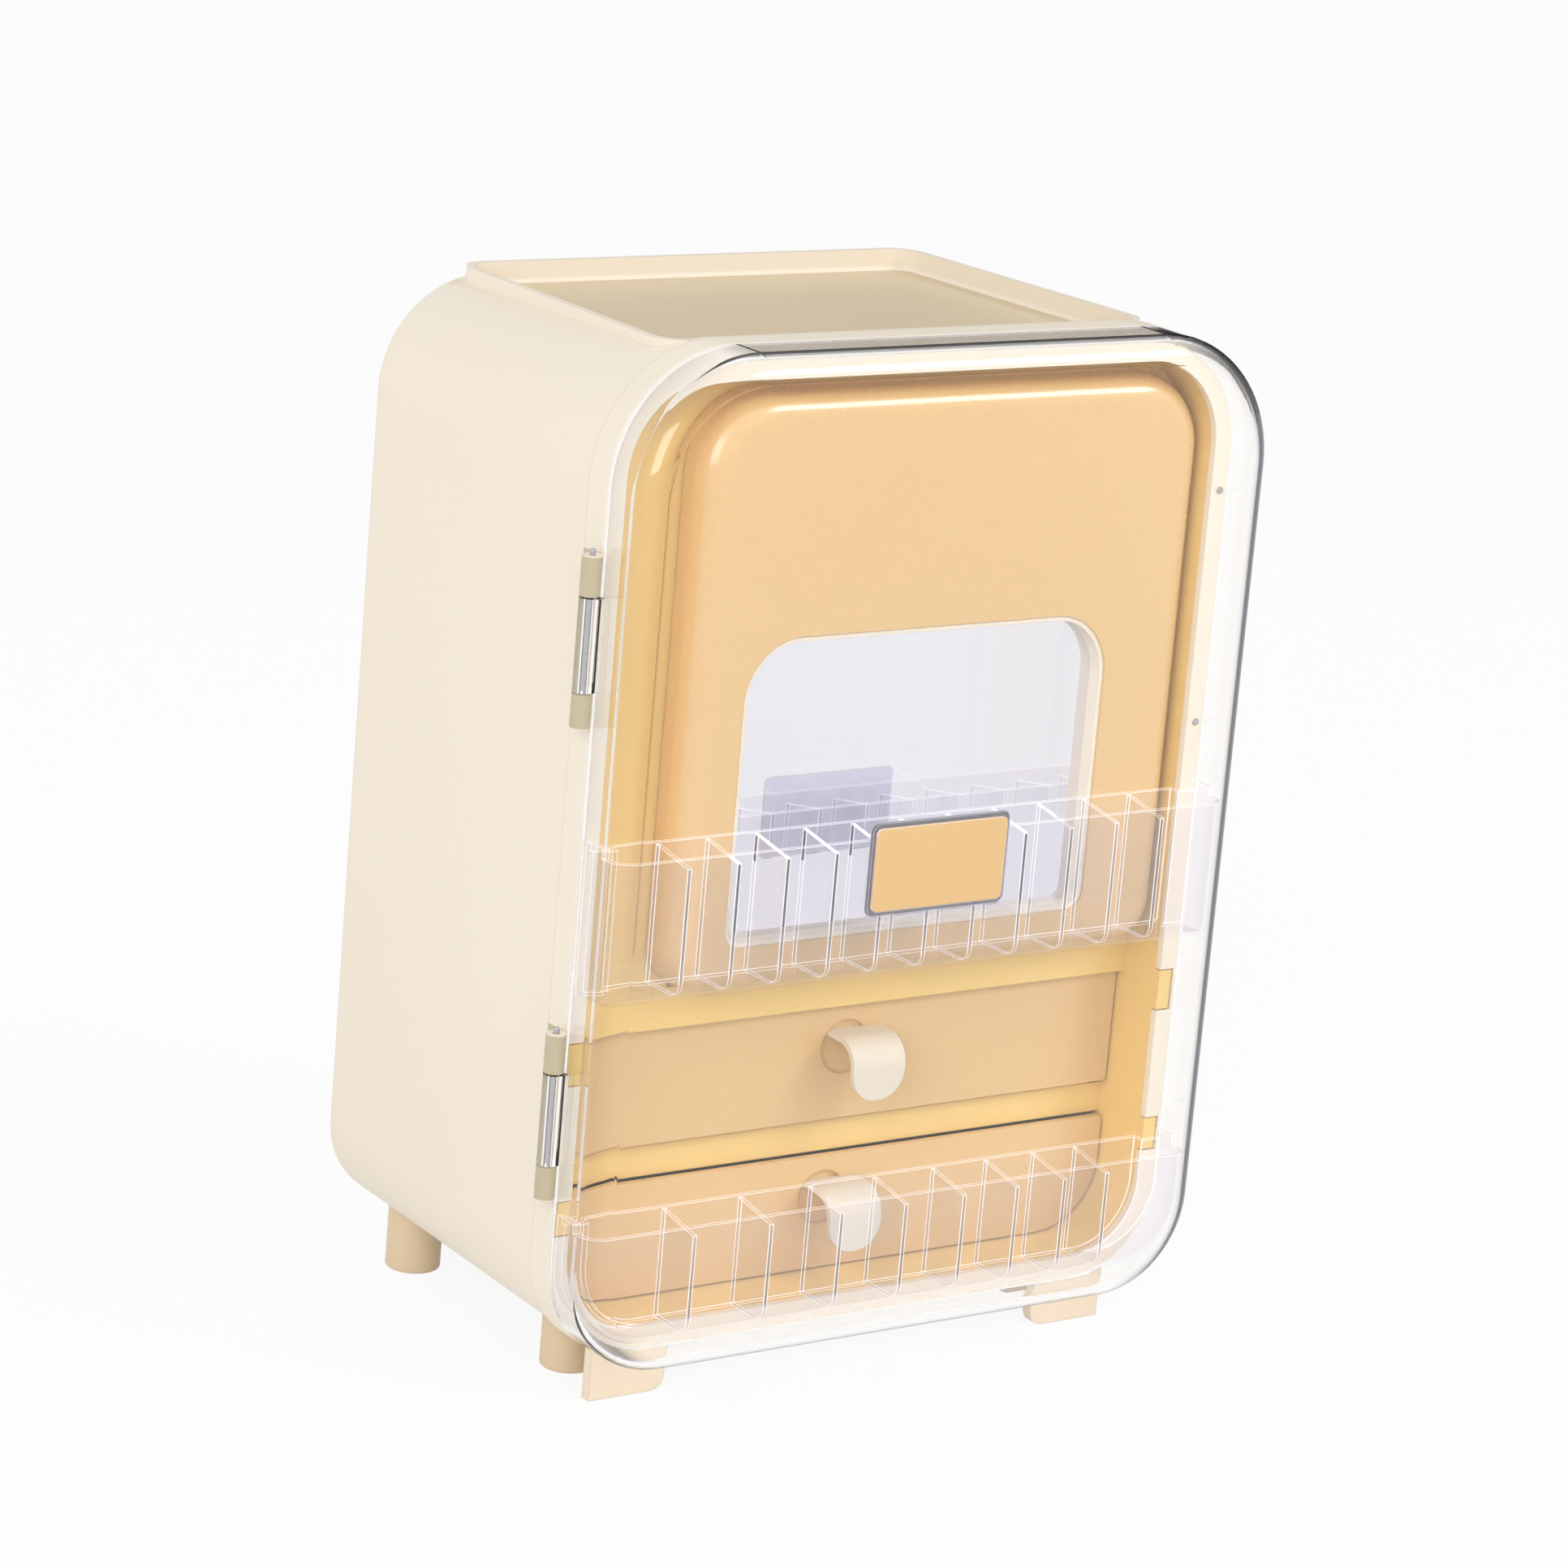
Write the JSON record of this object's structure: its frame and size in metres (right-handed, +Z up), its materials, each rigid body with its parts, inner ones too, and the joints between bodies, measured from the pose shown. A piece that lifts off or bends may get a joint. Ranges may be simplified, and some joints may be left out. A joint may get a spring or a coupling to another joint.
{
  "type": "cosmetic organizer box",
  "caption": "Upright cosmetic organizer with a clear hinged door, door trays, drawers, a pull-out bin with a mirror, and a tray on top.",
  "frame": {"origin": "centre of the overall box at floor level, under the feet", "axes": "+X to the right seen from the door, +Y to the back, +Z up"},
  "size_m": [0.2428, 0.1686, 0.331],
  "materials": {
    "cream": "satin",
    "amber": "satin",
    "amber_gloss": "gloss",
    "clear_door": "clear",
    "clear_tray": "clear",
    "plate": "satin",
    "pull": "matte",
    "mirror": "mirror",
    "steel": "bright",
    "catch": "bright"
  },
  "bodies": {
    "case": {"case_shell": "cream", "front_frame": "cream", "round_feet": "cream", "front_feet": "cream", "hinge_pin_upper": "steel", "hinge_pin_lower": "steel", "catch_pins": "catch", "inner_cabinet": "amber", "face_frame": "amber", "bin_shelf": "amber", "drawer_shelf": "amber"},
    "door": {"door_panel": "clear_door", "upper_door_tray": "clear_tray", "lower_door_tray": "clear_tray", "upper_tray_dividers": "clear_tray", "lower_tray_dividers": "clear_tray", "name_plate_frame": "clear_tray", "name_plate": "plate"},
    "bin": {"mirror_bin": "amber", "bin_front": "amber_gloss", "mirror_bezel": "cream", "mirror_glass": "mirror"},
    "upper_drawer_body": {"upper_drawer": "amber", "upper_drawer_pull": "pull"},
    "lower_drawer_body": {"lower_drawer": "amber", "lower_drawer_pull": "pull"}
  },
  "joints": [
    {"name": "door_hinge", "type": "hinge", "parent": "case", "child": "door", "pos_m": [-0.1182, -0.062, 0.169], "axis": [0, 0, -1], "range_deg": [0, 180]},
    {"name": "bin_slide", "type": "slide", "parent": "case", "child": "bin", "axis": [0, -1, 0], "range_m": [0, 0.085]},
    {"name": "upper_drawer_slide", "type": "slide", "parent": "case", "child": "upper_drawer_body", "axis": [0, -1, 0], "range_m": [0, 0.085]},
    {"name": "lower_drawer_slide", "type": "slide", "parent": "case", "child": "lower_drawer_body", "axis": [0, -1, 0], "range_m": [0, 0.085]}
  ],
  "couplings": [
    {"joint": "bin_slide", "follows": "door_hinge", "m_per_rad": 0.027},
    {"joint": "upper_drawer_slide", "follows": "door_hinge", "m_per_rad": 0.027},
    {"joint": "lower_drawer_slide", "follows": "door_hinge", "m_per_rad": 0.027}
  ]
}
